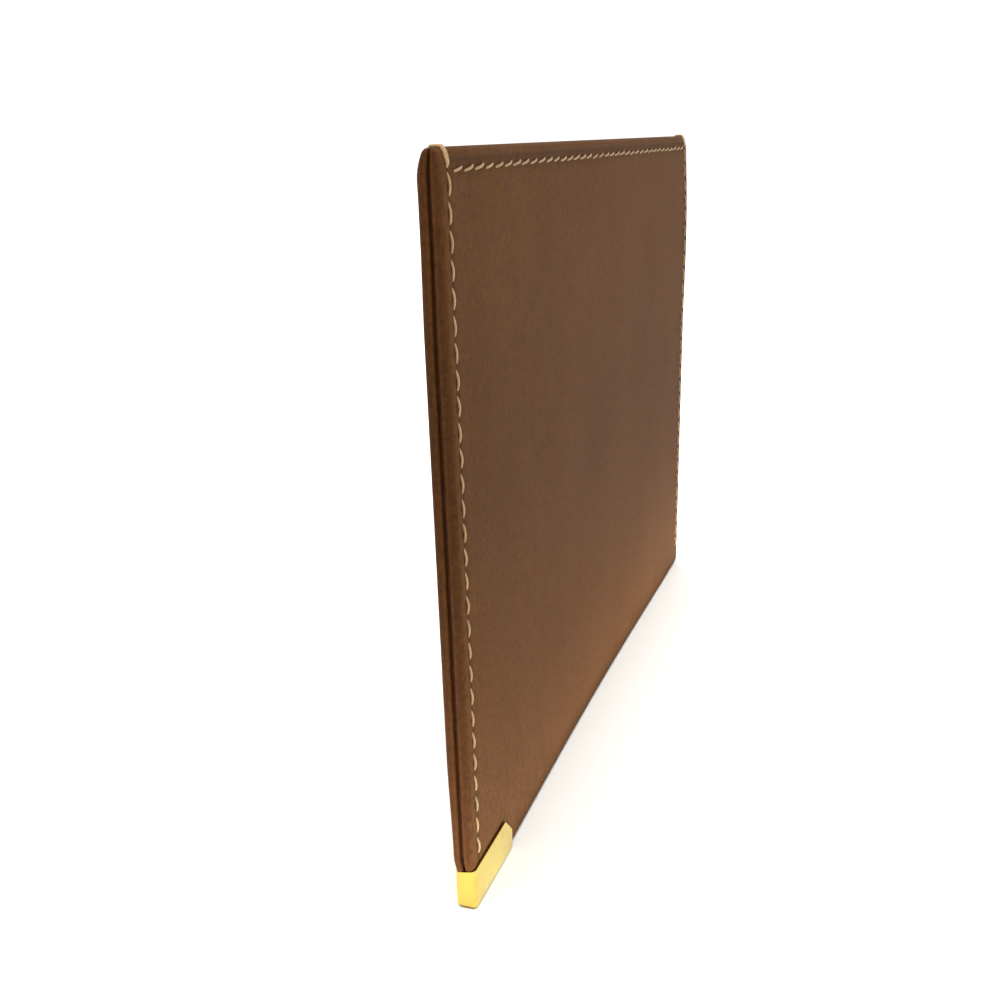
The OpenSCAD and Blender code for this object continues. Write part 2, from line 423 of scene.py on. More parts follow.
def build_outer_leather():
    """One closed skin: outer face with its stitch relief, rounded turned edges and hems."""
    xs, xb = block_lines(*x_blocks())
    ss, sb = block_lines(*s_blocks())
    # Equal angles round the turned edges
    for lines, n in ((xs, xb[1]), (ss, sb[1])):
        depth = EDGE_R * (1 - np.cos(math.pi / 2 * np.arange(n + 1) / n))
        lines[:n + 1] = lines[0] + depth
        lines[-n - 1:] = lines[-1] - depth[::-1]
    nx, ns = len(xs), len(ss)

    nbx, nbs = len(xb) - 1, len(sb) - 1
    bottom = nbs // 2

    def fine(bi, bj):
        """Whether a block needs its full number of cells along x and along s."""
        side = bi < 3 or bi >= nbx - 3
        mouth = bj < 3 or bj >= nbs - 3
        fold = abs(bj - bottom) <= 2
        guard = bi <= 2 + GUARD_BLOCKS_X and abs(bj - bottom) <= GUARD_BLOCKS_S
        return mouth or guard or side, side or guard or fold or mouth

    cells = []
    used = np.zeros((nx, ns), dtype=bool)
    for bi in range(nbx):
        for bj in range(nbs):
            fx, fs = fine(bi, bj)
            ci = list(range(xb[bi], xb[bi + 1] + 1)) if fx else [xb[bi], xb[bi + 1]]
            cj = list(range(sb[bj], sb[bj + 1] + 1)) if fs else [sb[bj], sb[bj + 1]]
            for a, b in zip(ci, ci[1:]):
                for c, d in zip(cj, cj[1:]):
                    cells.append((a, b, c, d))
                    used[a, c] = used[b, c] = used[a, d] = used[b, d] = True

    gi, gj = np.nonzero(used)
    x, s = xs[gi], ss[gj]
    # Fraction of the way out over the rounded edge, along x and along s
    a = np.clip((EDGE_R - (HALF_W - np.abs(x))) / EDGE_R, 0, 1)
    b = np.clip((EDGE_R - np.minimum(s, S_END - s)) / EDGE_R, 0, 1)
    a2, b2 = a * np.sqrt(1 - b * b / 2), b * np.sqrt(1 - a * a / 2)
    reach = np.clip(np.hypot(a2, b2), 1e-6, 1)
    a2, b2 = a2 * reach ** (2 / OUTER_POWER - 1), b2 * reach ** (2 / OUTER_POWER - 1)
    reach = reach ** (2 / OUTER_POWER)
    x2 = np.sign(x) * np.where(a > 0, HALF_W - EDGE_R * (1 - a2), np.abs(x))
    s_side = np.where(s < S_END / 2, EDGE_R * (1 - b2), S_END - EDGE_R * (1 - b2))
    s2 = np.where(b > 0, s_side, s)
    swell = np.clip(1 - reach ** OUTER_POWER, 0, 1) ** (1 / OUTER_POWER)
    fill = np.clip(1 - reach ** INNER_POWER, 0, 1) ** (1 / INNER_POWER)
    y, z, ny, nz = middle(s2)

    height, shadow = relief(x2, s2)
    out = EDGE_R * swell + height * np.sqrt(swell)
    outer = np.stack([x2, y + ny * out, z + nz * out], -1)
    hem = ((HALF_W - np.abs(x2)) < HEM_X) | (np.minimum(s2, S_END - s2) < HEM_S)
    inn = EDGE_R * fill * np.where(hem, 0.04 + 0.96 * smoothstep(HALF_T, 3, z), 0)
    inner = np.stack([x2, y - ny * inn, z - nz * inn], -1)

    index_out = -np.ones((nx, ns), dtype=int)
    index_out[gi, gj] = np.arange(len(gi))
    rim = (gi == 0) | (gi == nx - 1) | (gj == 0) | (gj == ns - 1)
    index_in = -np.ones((nx, ns), dtype=int)
    index_in[gi[rim], gj[rim]] = index_out[gi[rim], gj[rim]]
    inside = ~rim
    index_in[gi[inside], gj[inside]] = len(gi) + np.arange(int(inside.sum()))
    points = np.concatenate([outer, inner[inside]])

    faces = []
    for (i0, i1, j0, j1) in cells:
        ring = [(i, j0) for i in range(i0, i1)] + [(i1, j) for j in range(j0, j1)]
        ring += [(i, j1) for i in range(i1, i0, -1)] + [(i0, j) for j in range(j1, j0, -1)]
        ring = [q for q in ring if used[q]]
        faces.append([int(index_out[q]) for q in ring])
        faces.append([int(index_in[q]) for q in reversed(ring)])

    points = settle(grip(points))
    leather = make_mesh("outer_leather", points, faces)
    face_out(leather)
    dark = np.concatenate([shadow * swell, np.zeros(int(inside.sum()))])
    edge = np.concatenate([1 - swell, np.zeros(int(inside.sum()))])
    point_attribute(leather, "stitch_shadow", dark)
    point_attribute(leather, "edge", edge)
    # Painted shade: a band halfway up the skin, deepest towards the guard's end
    x_now, z_now = points[:, 0], points[:, 2]
    shade_band = bump(z_now - SHADE_BAND_Z + 0.22 * (x_now + HALF_W), SHADE_BAND_HALF)
    shade_band = shade_band * (0.75 - 0.35 * x_now / HALF_W)
    point_attribute(leather, "shade_band", np.clip(shade_band, 0, 1))
    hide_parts("front_leather", "back_leather", "bottom_leather")
    return leather


# ---------------------------------------------------------------- thread

TUBE_SIDES = 14
PLIES = 3
TWIST_LENGTH = 1.3
STITCH_RINGS = 26
# Shape of a stitch: how deep its ends go, how high its middle rises, and how full it is (a
# smaller number is fuller)
SEAM_STITCH = {"depth": 0.35, "rise": 0.08, "fullness": 0.65}
MOUTH_STITCH = {"depth": 0.32, "rise": 0.10, "fullness": 0.7}
# How far the ends of a stitch overlap the next one
STITCH_OVERLAP = 0.06
# How much one stitch differs from the next
STITCH_SPREAD = 0.025


def tube(path, radius, start_angle):
    """Points, faces and twist shade of a twisted thread along a path in millimetres."""
    path = np.asarray(path, dtype=float)
    tangent = np.gradient(path, axis=0)
    tangent /= np.linalg.norm(tangent, axis=1)[:, None]
    steps = np.linalg.norm(np.diff(path, axis=0), axis=1)
    run = np.concatenate([[0], np.cumsum(steps)])
    normal = np.zeros_like(path)
    guess = np.array([1.0, 0, 0]) if abs(tangent[0, 0]) < 0.8 else np.array([0, 0, 1.0])
    for k, t in enumerate(tangent):
        guess = guess - t * guess.dot(t)
        guess /= np.linalg.norm(guess)
        normal[k] = guess
    binormal = np.cross(tangent, normal)
    ang = np.linspace(0, 2 * math.pi, TUBE_SIDES, endpoint=False)
    turn = start_angle + 2 * math.pi * run / TWIST_LENGTH
    lobe = np.abs(np.cos(PLIES / 2 * (ang[None, :] - turn[:, None])))
    taper = 0.4 + 0.6 * np.sqrt(np.clip(np.sin(math.pi * np.linspace(0.04, 0.96, len(path))), 0, 1))
    r = radius * (0.86 + 0.16 * lobe) * taper[:, None]
    ring = (path[:, None, :] + normal[:, None, :] * (r * np.cos(ang))[..., None]
            + binormal[:, None, :] * (r * np.sin(ang))[..., None])
    points = ring.reshape(-1, 3)
    faces = []
    n = TUBE_SIDES
    for k in range(len(path) - 1):
        for m in range(n):
            m2 = (m + 1) % n
            faces.append([k * n + m, k * n + m2, (k + 1) * n + m2, (k + 1) * n + m])
    faces.append([m for m in reversed(range(n))])
    faces.append([(len(path) - 1) * n + m for m in range(n)])
    return points, faces, lobe.reshape(-1)


def gather(name, tubes, nodes):
    """Joins many tubes into one piece of thread that stands for the given CAD nodes."""
    points, faces, shade = [], [], []
    total = 0
    for p, f, v in tubes:
        points.append(p)
        shade.append(v)
        faces += [[i + total for i in face] for face in f]
        total += len(p)
    obj = make_mesh(name, np.concatenate(points), faces)
    face_out(obj)
    point_attribute(obj, "ply", np.concatenate(shade))
    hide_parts(*nodes)
    return obj


def stitch_heights(t, depth, rise, fullness):
    """Height of a stitch's middle line over the leather: out of one hole and into the next."""
    return -depth + (depth + rise) * np.sin(math.pi * t) ** fullness


def seam_stitches(name, row_x, count, node):
    """The stitches of a side seam on both faces, and its lock stitch over the mouth."""
    rng = np.random.default_rng(11 if row_x < 0 else 12)
    t = np.linspace(0, 1, STITCH_RINGS)
    tubes = []
    for back in (False, True):
        for i in range(count):
            z0 = ROW_Z - i * SEAM_PITCH
            jitter = rng.normal(0, STITCH_SPREAD, 4)
            x = row_x - SLIT_HALF + 2 * SLIT_HALF * t + jitter[0] + jitter[1] * t
            z = z0 - SEAM_PITCH * t + STITCH_OVERLAP * (1 - 2 * t)
            s = HEIGHT - z if not back else S_END - (HEIGHT - z)
            lift = stitch_heights(t, **SEAM_STITCH) + jitter[2] * np.sin(math.pi * t)
            tubes.append(tube(on_leather(x, s, lift), THREAD_R, rng.uniform(0, 6.28)))
    for strand in (-1, 1):
        tubes.append(tube(lock_path(row_x, strand), LOCK_R, rng.uniform(0, 6.28)))
    return gather(name, tubes, [node])


# The lock stitch: radius of its turn over the mouth edge, radius of each strand, and half the
# distance between its two strands
LOCK_TURN_R = 0.5
LOCK_R = 0.185
LOCK_SPREAD = 0.19


def lock_path(row_x, strand):
    """One of the two strands that wrap over the mouth from the front hole to the back hole."""
    lift = LOCK_R * 0.6
    side = HALF_T + lift
    turn_r = LOCK_TURN_R + lift
    rise = HEIGHT - LOCK_TURN_R - ROW_Z
    lengths = [rise, math.pi / 2 * turn_r, HALF_T - LOCK_TURN_R]
    run = np.linspace(0, sum(lengths), 48)
    up = np.clip(run, 0, rise)
    turn = np.clip((run - rise) / turn_r, 0, math.pi / 2)
    across = np.clip(run - rise - lengths[1], 0, None)
    y = -side + turn_r * (1 - np.cos(turn)) + across
    z = ROW_Z + up + turn_r * np.sin(turn)
    # Its end dives into the hole
    y = y + 0.5 * bump(run, 0.28)
    spread = strand * LOCK_SPREAD * smoothstep(0, 1.2, run)
    front = np.stack([row_x + spread, y, z], -1)
    back = front[:-1][::-1] * np.array([1, -1, 1])
    return settle(np.concatenate([front, back]))


def mouth_stitches(name, back, node):
    """The stitches along one wall's mouth, with their flat backs inside the pocket."""
    rng = np.random.default_rng(21 if back else 22)
    t = np.linspace(0, 1, STITCH_RINGS)
    tubes = []
    for i in range(MOUTH_STITCHES):
        jitter = rng.normal(0, STITCH_SPREAD, 3)
        x = ROW_X0 + MOUTH_PITCH * (i + t) - STITCH_OVERLAP * (1 - 2 * t)
        z = ROW_Z - MOUTH_SLIT_HALF + 2 * MOUTH_SLIT_HALF * t + jitter[0] + jitter[1] * t
        s = HEIGHT - z if not back else S_END - (HEIGHT - z)
        lift = stitch_heights(t, **MOUTH_STITCH) + jitter[2] * np.sin(math.pi * t)
        tubes.append(tube(on_leather(x, s, lift), THREAD_R, rng.uniform(0, 6.28)))
        # Inside the pocket the thread is drawn down into the hem
        depth = -WALL_T + 0.03 + 0.22 * (1 - np.sin(math.pi * t) ** 0.5)
        z_in = ROW_Z + MOUTH_SLIT_HALF - 2 * MOUTH_SLIT_HALF * t
        s_in = HEIGHT - z_in if not back else S_END - (HEIGHT - z_in)
        tubes.append(tube(on_leather(x, s_in, depth), THREAD_R * 0.6, rng.uniform(0, 6.28)))
    return gather(name, tubes, [node])


# ---------------------------------------------------------------- inner layers

# The boards stop short of their CAD box, so that they stay hidden where the walls are drawn in
BOARD_ROOM = np.array([1.3, 0.01, 1.3])
# The fillers' feathered ends run on past the first awl hole
FILLER_RISE = 1.2


def plate(name, lo, hi, steps, node, edge=0.05):
    """A thin board or strip between two corners, with softened edges, bent with the holder."""
    axes = []
    for k in range(3):
        n = steps[k]
        line = np.linspace(lo[k], hi[k], n + 1)
        if hi[k] - lo[k] > 4 * edge:
            line = np.concatenate([[lo[k], lo[k] + edge], line[1:-1], [hi[k] - edge, hi[k]]])
        axes.append(line)
    obj = box_grid(name, axes, edge)
    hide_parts(node)
    return obj


def box_grid(name, axes, edge):
    """The closed skin of a box cut by lines along its three axes, with rounded edges."""
    index, points = {}, []

    def at(i, j, k):
        key = (i, j, k)
        if key not in index:
            index[key] = len(points)
            p = np.array([axes[0][i], axes[1][j], axes[2][k]], dtype=float)
            ends = [q in (0, len(axis) - 1) for q, axis in zip(key, axes)]
            if sum(ends) > 1:
                for m, axis in enumerate(axes):
                    if ends[m]:
                        inward = (axis[0] + axis[-1]) / 2 - p[m]
                        p[m] += np.sign(inward) * min(edge * 0.3, abs(inward) * 0.3)
            points.append(p)
        return index[key]

    faces = []
    n = [len(a) - 1 for a in axes]
    for i in range(n[0]):
        for j in range(n[1]):
            for k, flip in ((0, True), (n[2], False)):
                f = [at(i, j, k), at(i + 1, j, k), at(i + 1, j + 1, k), at(i, j + 1, k)]
                faces.append(f[::-1] if flip else f)
    for i in range(n[0]):
        for k in range(n[2]):
            for j, flip in ((0, False), (n[1], True)):
                f = [at(i, j, k), at(i + 1, j, k), at(i + 1, j, k + 1), at(i, j, k + 1)]
                faces.append(f[::-1] if flip else f)
    for j in range(n[1]):
        for k in range(n[2]):
            for i, flip in ((0, True), (n[0], False)):
                f = [at(i, j, k), at(i, j + 1, k), at(i, j + 1, k + 1), at(i, j, k + 1)]
                faces.append(f[::-1] if flip else f)
    obj = make_mesh(name, settle(grip(np.array(points))), faces)
    face_out(obj)
    return obj


def build_lining():
    """The pocket's lining: down the front wall, round the bottom and up the back wall."""
    outer_r = lining_hi[1]
    inner_r = HALF_GAP
    mid_r = (outer_r + inner_r) / 2
    half = (outer_r - inner_r) / 2
    bend_z = HALF_T
    top = lining_hi[2]
    legs = 26
    path = [(-mid_r, top - (top - bend_z) * k / legs, -1, 0) for k in range(legs)]
    for k in range(13):
        a = math.pi * k / 12
        path.append((-mid_r * math.cos(a), bend_z - mid_r * math.sin(a), -math.cos(a), -math.sin(a)))
    path += [(mid_r, bend_z + (top - bend_z) * (k + 1) / legs, 1, 0) for k in range(legs)]
    xs = np.linspace(lining_lo[0], lining_hi[0], 40)
    points, faces = [], []
    n = len(path)
    for x in xs:
        for (y, z, ny, nz) in path:
            points.append((x, y + ny * half, z + nz * half))
            points.append((x, y - ny * half, z - nz * half))
    row = 2 * n
    for i in range(len(xs) - 1):
        for j in range(n - 1):
            a, b = i * row + 2 * j, (i + 1) * row + 2 * j
            faces.append([a, a + 2, b + 2, b])
            faces.append([a + 1, b + 1, b + 3, a + 3])
        for j in (0, n - 1):
            a, b = i * row + 2 * j, (i + 1) * row + 2 * j
            faces.append([a, a + 1, b + 1, b])
    for i in (0, len(xs) - 1):
        for j in range(n - 1):
            a = i * row + 2 * j
            faces.append([a, a + 1, a + 3, a + 2])
    obj = make_mesh("lining_strip", settle(grip(np.array(points))), faces)
    face_out(obj)
    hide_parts("front_lining", "back_lining", "lining_turn")
    return obj


def build_boards():
    """Stiffening boards, between the skin and the lining."""
    for node in ("front_board", "back_board"):
        lo, hi = box_mm(node)
        lo, hi = lo + BOARD_ROOM, hi - BOARD_ROOM
        obj = plate(node + "_sheet", lo, hi, (36, 1, 96), node, edge=0.03)
        obj.data.materials.append(board_material())


def build_fillers():
    """The strips between the walls in the side seams."""
    for node in ("left_filler", "right_filler"):
        lo, hi = box_mm(node)
        hi[2] += FILLER_RISE
        obj = plate(node + "_strip", lo, hi, (4, 1, 60), node)
        obj.data.materials.append(filler_material())


# ---------------------------------------------------------------- corner guard

def rounded_box(lo, hi, radii, cells):
    """A box mesh with rounded edges; radii says how far the rounding reaches along X, Y, Z."""
    bm = bmesh.new()
    bmesh.ops.create_cube(bm, size=2.0)
    bmesh.ops.subdivide_edges(bm, edges=bm.edges[:], cuts=cells, use_grid_fill=True)
    centre = (np.array(lo) + np.array(hi)) / 2
    half = (np.array(hi) - np.array(lo)) / 2
    radii = np.array(radii)
    for v in bm.verts:
        u = np.array(v.co)
        # Crowd the grid lines towards the edges
        p = np.sign(u) * (1 - (1 - np.abs(u)) ** 1.6) * half
        core = np.clip(p, radii - half, half - radii)
        d = (p - core) / radii
        n = np.linalg.norm(d)
        if n > 1e-9:
            p = core + d / n * np.max(np.abs(d)) * radii
        v.co = Vector(centre + p)
    return bm


# How far the rounding of the guard's edges reaches along X, Y and Z
GUARD_ROUNDING = (0.42, 0.55, 0.38)
# How much the guard's faces fall away from their middle to their edges
GUARD_CROWN = 0.05
GUARD_END_CROWN = 0.06
# How far the blank and the tool run on past the faces that are cut
GUARD_OVER = 2.5


def build_guard():
    """Brass channel over the bottom left corner: two plates, a floor and an end wall."""
    lo, hi = guard_lo.copy(), guard_hi.copy()
    over = np.array([GUARD_OVER, 0, GUARD_OVER])
    bm = rounded_box(lo, hi + over, GUARD_ROUNDING, 44)
    # Cushioned end and front: full in the middle, falling away towards the edges
    cy = (lo[1] + hi[1]) / 2
    hy = (hi[1] - lo[1]) / 2
    for v in bm.verts:
        x, y, z = v.co
        fz = np.clip((z - lo[2]) / (hi[2] - lo[2]), 0, 1)
        crown = 4 * fz * (1 - fz)
        if y < lo[1] + GUARD_T or y > hi[1] - GUARD_T:
            v.co.y += (y - cy) / hy * GUARD_CROWN * (crown - 1)
        if x < lo[0] + GUARD_T:
            v.co.x += GUARD_CROWN * (1 - crown) + GUARD_END_CROWN * ((y - cy) / hy) ** 2
    cuts = [((hi[0], 0, 0), (1, 0, 0)), ((0, lo[1], hi[2]), (0, RIM_SLOPE, 1)),
            ((hi[0], 0, hi[2] - GUARD_CUT_Z), (GUARD_CUT_Z, 0, GUARD_CUT_X))]
    for co, no in cuts:
        geom = bm.verts[:] + bm.edges[:] + bm.faces[:]
        cut = bmesh.ops.bisect_plane(bm, geom=geom, plane_co=co, plane_no=no, clear_outer=True)
        edges = [e for e in cut["geom_cut"] if isinstance(e, bmesh.types.BMEdge)]
        bmesh.ops.holes_fill(bm, edges=edges)
    mesh = bpy.data.meshes.new("guard_blank")
    for v in bm.verts:
        v.co *= MM
    bmesh.ops.recalc_face_normals(bm, faces=bm.faces)
    bm.to_mesh(mesh)
    bm.free()
    guard = bpy.data.objects.new("brass_corner", mesh)
    bpy.context.scene.collection.objects.link(guard)

    # The tool that hollows it out
    tool_hi = hi + over - np.array([0, GUARD_T, 0])
    tool = rounded_box(lo + GUARD_T, tool_hi, (0.12, 0.12, 0.12), 10)
    tool_mesh = bpy.data.meshes.new("guard_tool")
    for v in tool.verts:
        v.co *= MM
    bmesh.ops.recalc_face_normals(tool, faces=tool.faces)
    tool.to_mesh(tool_mesh)
    tool.free()
    cutter = bpy.data.objects.new("guard_tool", tool_mesh)
    bpy.context.scene.collection.objects.link(cutter)

    hollow = guard.modifiers.new("hollow", "BOOLEAN")
    hollow.operation = "DIFFERENCE"
    hollow.solver = "EXACT"
    hollow.object = cutter
    apply_modifiers(guard)
    bpy.data.objects.remove(cutter)
    soften = guard.modifiers.new("soften", "BEVEL")
    soften.width = 0.04 * MM
    soften.segments = 3
    soften.limit_method = "ANGLE"
    soften.angle_limit = math.radians(38)
    apply_modifiers(guard)
    guard.data.polygons.foreach_set("use_smooth", [True] * len(guard.data.polygons))
    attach(guard, "root")
    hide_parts("corner_guard")
    guard.data.materials.append(brass_material())
    return guard


# ---------------------------------------------------------------- materials

class Nodes:
    """A short way to write a material's nodes."""

    def __init__(self, name):
        self.material = bpy.data.materials.new(name)
        self.material.use_nodes = True
        self.tree = self.material.node_tree
        self.shader = self.tree.nodes["Principled BSDF"]
        self.coords = self.tree.nodes.new("ShaderNodeTexCoord").outputs["Object"]

    def add(self, kind, **values):
        node = self.tree.nodes.new(kind)
        for key, value in values.items():
            setattr(node, key, value)
        return node

    def link(self, out, socket):
        self.tree.links.new(out, socket)

    def scaled(self, scale):
        """Coordinates multiplied by scale along X, Y and Z, per metre."""
        node = self.add("ShaderNodeMapping")
        node.inputs["Scale"].default_value = scale
        self.link(self.coords, node.inputs["Vector"])
        return node.outputs["Vector"]

    def noise(self, scale, detail=4.0, rough=0.55, distort=0.0):
        """Noise from 0 to 1; scale is features per metre along X, Y and Z."""
        node = self.add("ShaderNodeTexNoise")
        node.inputs["Scale"].default_value = 1.0
        node.inputs["Detail"].default_value = detail
        node.inputs["Roughness"].default_value = rough
        node.inputs["Distortion"].default_value = distort
        self.link(self.scaled(scale), node.inputs["Vector"])
        return node.outputs["Fac"]

    def cells(self, scale, feature="F1"):
        """Voronoi cell distance; scale is cells per metre along X, Y and Z."""
        node = self.add("ShaderNodeTexVoronoi", feature=feature)
        node.inputs["Scale"].default_value = 1.0
        self.link(self.scaled(scale), node.inputs["Vector"])
        return node.outputs["Distance"]

    def ramp(self, source, *stops):
        """Colours at positions along 0 to 1."""
        node = self.add("ShaderNodeValToRGB")
        elements = node.color_ramp.elements
        while len(elements) < len(stops):
            elements.new(0.5)
        for element, (position, colour) in zip(elements, stops):
            element.position = position
            element.color = (*colour, 1)
        self.link(source, node.inputs["Fac"])
        return node.outputs["Color"]

    def remap(self, source, lo, hi, to_lo, to_hi):
        """source from lo..hi to to_lo..to_hi, clamped."""
        node = self.add("ShaderNodeMapRange")
        ends = {"From Min": lo, "From Max": hi, "To Min": to_lo, "To Max": to_hi}
        for key, value in ends.items():
            node.inputs[key].default_value = value
        self.link(source, node.inputs["Value"])
        return node.outputs["Result"]

    def math(self, operation, a, b):
        node = self.add("ShaderNodeMath", operation=operation)
        for socket, value in zip(node.inputs, (a, b)):
            if isinstance(value, (int, float)):
                socket.default_value = value
            else:
                self.link(value, socket)
        return node.outputs[0]

    def times(self, base, source, lo, hi, factor):
        """base multiplied by a ramp of source between two (position, colour) stops."""
        return self.mix(base, self.ramp(source, lo, hi), factor, "MULTIPLY")

    def mix(self, a, b, factor, blend="MIX"):
        """Mixes two colours; each may be a socket or an (r, g, b)."""
        node = self.add("ShaderNodeMix", data_type="RGBA", blend_type=blend)
        for index, value in ((0, factor), (6, a), (7, b)):
            socket = node.inputs[index]
            if isinstance(value, (int, float)):
                socket.default_value = value
            elif isinstance(value, tuple):
                socket.default_value = (*value, 1)
            else:
                self.link(value, socket)
        return node.outputs[2]

    def attribute(self, name):
        node = self.add("ShaderNodeAttribute", attribute_name=name)
        return node.outputs["Fac"]

    def bump(self, height, distance, strength=1.0, under=None):
        node = self.add("ShaderNodeBump")
        node.inputs["Strength"].default_value = strength
        node.inputs["Distance"].default_value = distance
        self.link(height, node.inputs["Height"])
        if under is not None:
            self.link(under, node.inputs["Normal"])
        return node.outputs["Normal"]

    def set(self, **values):
        """Sets or links the shader's inputs; underscores in a name stand for spaces."""
        for key, value in values.items():
            socket = self.shader.inputs[key.replace("_", " ")]
            if isinstance(value, (int, float)):
                socket.default_value = value
            elif isinstance(value, tuple):
                socket.default_value = (*value, 1)
            else:
                self.link(value, socket)


def leather_material():
    """Smooth brown calf: fine grain, creases and pores, darker on its rounded edges, with painted
    shade along the stitching, in the grain's creases and in a band halfway up.
    """
    n = Nodes("brown_calf")
    tone = n.noise((55, 55, 38), detail=3)
    grain = n.noise((1500, 1500, 1050), detail=5, rough=0.62, distort=0.6)
    fine = n.noise((3400, 3400, 2500), detail=3)
    base = n.ramp(tone, (0.3, (0.085, 0.0340, 0.0091)), (0.7, (0.100, 0.0410, 0.0116)))
    base = n.times(base, grain, (0.32, (0.64, 0.60, 0.54)), (0.68, (1.28, 1.27, 1.24)), 0.6)
    base = n.times(base, fine, (0.35, (0.82, 0.79, 0.75)), (0.65, (1.14, 1.14, 1.13)), 0.5)
    # Darker on the rounded turned edges
    edge_darkening = n.remap(n.attribute("edge"), 0.05, 0.8, 0.0, 0.4)
    base = n.mix(base, (0.046, 0.0168, 0.0125), edge_darkening)
    shadow = n.math("MULTIPLY", n.attribute("stitch_shadow"), 0.85)
    base = n.mix(base, (0.028, 0.0105, 0.0033), shadow)
    # Painted shade in a band halfway up the skin
    base = n.mix(base, (0.87, 0.87, 0.87), n.attribute("shade_band"), "MULTIPLY")
    pores = n.cells((2600, 2600, 1900))
    crease = n.cells((1050, 1050, 800), "DISTANCE_TO_EDGE")
    # The grain's creases are painted darker, as shade in them
    base = n.times(base, crease, (0.0, (0.80, 0.76, 0.70)), (0.10, (1.03, 1.03, 1.02)), 0.6)
    height = n.math("ADD", n.math("MULTIPLY", n.remap(pores, 0.0, 0.55, 0.0, 1.0), 0.5),
                    n.math("MULTIPLY", n.remap(crease, 0.0, 0.09, 0.0, 1.0), 0.5))
    coarse = n.bump(grain, 0.0001, 0.6)
    normal = n.bump(height, 0.00004, 0.6, coarse)
    rough = n.remap(grain, 0.3, 0.7, 0.56, 0.70)
    n.set(Base_Color=base, Roughness=rough, Normal=normal, Specular_IOR_Level=0.04)
    return n.material


def thread_material(name, shade):
    """Waxed linen: cream, with painted shade between the plies; shade is a colour that dims it."""
    n = Nodes(name)
    fibre = n.noise((5200, 5200, 5200), detail=4, rough=0.7)
    tone = n.noise((420, 420, 420), detail=2)
    base = n.ramp(fibre, (0.3, (0.335, 0.212, 0.094)), (0.7, (0.48, 0.325, 0.163)))
    base = n.times(base, tone, (0.3, (0.80, 0.78, 0.72)), (0.7, (1.1, 1.08, 1.02)), 0.7)
    # Painted shade in the valleys between the plies
    valley = n.remap(n.attribute("ply"), 0.0, 0.7, 0.4, 0.0)
    base = n.mix(base, (0.17, 0.098, 0.038), valley)
    base = n.mix(base, shade, 1.0, "MULTIPLY")
    n.set(Base_Color=base, Roughness=0.58, Normal=n.bump(fibre, 0.00004, 0.6),
          Specular_IOR_Level=0.35, Sheen_Weight=0.15, Sheen_Roughness=0.5)
    return n.material


def brass_material():
    """Polished brass with fine scratches and a little tarnish."""
    n = Nodes("polished_brass")
    patch = n.noise((380, 380, 380), detail=4)
    scratch = n.noise((500, 9000, 9000), detail=3, rough=0.7)
    base = n.ramp(patch, (0.3, (0.77, 0.60, 0.125)), (0.72, (0.85, 0.71, 0.18)))
    tarnish = n.noise((230, 230, 520), detail=5, rough=0.65)
    base = n.mix(base, (0.62, 0.37, 0.10), n.remap(tarnish, 0.52, 0.70, 0.0, 0.5))
    # The end face is a deeper yellow than the plates
    split = n.add("ShaderNodeSeparateXYZ")
    n.link(n.coords, split.inputs["Vector"])
    end = n.remap(split.outputs["X"], (0.6 - HALF_W) * MM, -HALF_W * MM, 0.0, 0.75)
    base = n.mix(base, (0.80, 0.55, 0.115), end)
    rough = n.remap(patch, 0.3, 0.7, 0.12, 0.26)
    n.set(Base_Color=base, Metallic=1.0, Roughness=rough, Normal=n.bump(scratch, 0.000006, 0.35))
    return n.material


def lining_material():
    """Thin matt lining leather."""
    n = Nodes("lining_leather")
    tone = n.noise((120, 120, 90), detail=3)
    nap = n.noise((2600, 2600, 2600), detail=4)
    base = n.ramp(tone, (0.3, (0.17, 0.095, 0.050)), (0.7, (0.24, 0.14, 0.078)))
    base = n.times(base, nap, (0.3, (0.78, 0.77, 0.76)), (0.7, (1.15, 1.15, 1.15)), 0.6)
    n.set(Base_Color=base, Roughness=0.82, Normal=n.bump(nap, 0.00004, 0.6),
          Specular_IOR_Level=0.25)
    return n.material


def filler_material():
    """Raw edge of the filler strip, painted as dark as the shade deep in the slit between the walls.
    """
    n = Nodes("filler_leather")
    fibre = n.noise((2600, 2600, 700), detail=5, rough=0.7)
    # Painted shade: the strip's edge is coloured as dark as the slit's shadow
    base = n.ramp(fibre, (0.3, (0.042, 0.0125, 0.0075)), (0.7, (0.090, 0.031, 0.018)))
    n.set(Base_Color=base, Roughness=0.75, Normal=n.bump(fibre, 0.00005, 0.7),
          Specular_IOR_Level=0.06)
    return n.material


def board_material():
    """Grey-brown bonded board, hidden between the leather and the lining."""
    n = Nodes("bonded_board")
    fleck = n.noise((1500, 1500, 1500), detail=5, rough=0.75)
    base = n.ramp(fleck, (0.35, (0.22, 0.17, 0.12)), (0.65, (0.38, 0.31, 0.23)))
    n.set(Base_Color=base, Roughness=0.9, Normal=n.bump(fleck, 0.00004, 0.5),
          Specular_IOR_Level=0.2)
    return n.material


def floor_material():
    """Plain pale floor."""
    n = Nodes("pale_floor")
    tone = n.noise((9, 9, 9), detail=2)
    base = n.ramp(tone, (0.3, (0.87, 0.865, 0.845)), (0.7, (0.89, 0.885, 0.865)))
    n.set(Base_Color=base, Roughness=0.75, Specular_IOR_Level=0.2)
    return n.material


# ---------------------------------------------------------------- stage, lights and camera

FLOOR_HALF = 1.6


def build_floor():
    """A plain square floor at Z = 0."""
    h = FLOOR_HALF
    mesh = bpy.data.meshes.new("floor")
    mesh.from_pydata([(-h, -h, 0), (h, -h, 0), (h, h, 0), (-h, h, 0)], [], [[0, 1, 2, 3]])
    floor = bpy.data.objects.new("floor", mesh)
    bpy.context.scene.collection.objects.link(floor)
    floor.data.materials.append(floor_material())


# Height of the reflector panels over the floor, in millimetres
PANEL_Z = 0.5


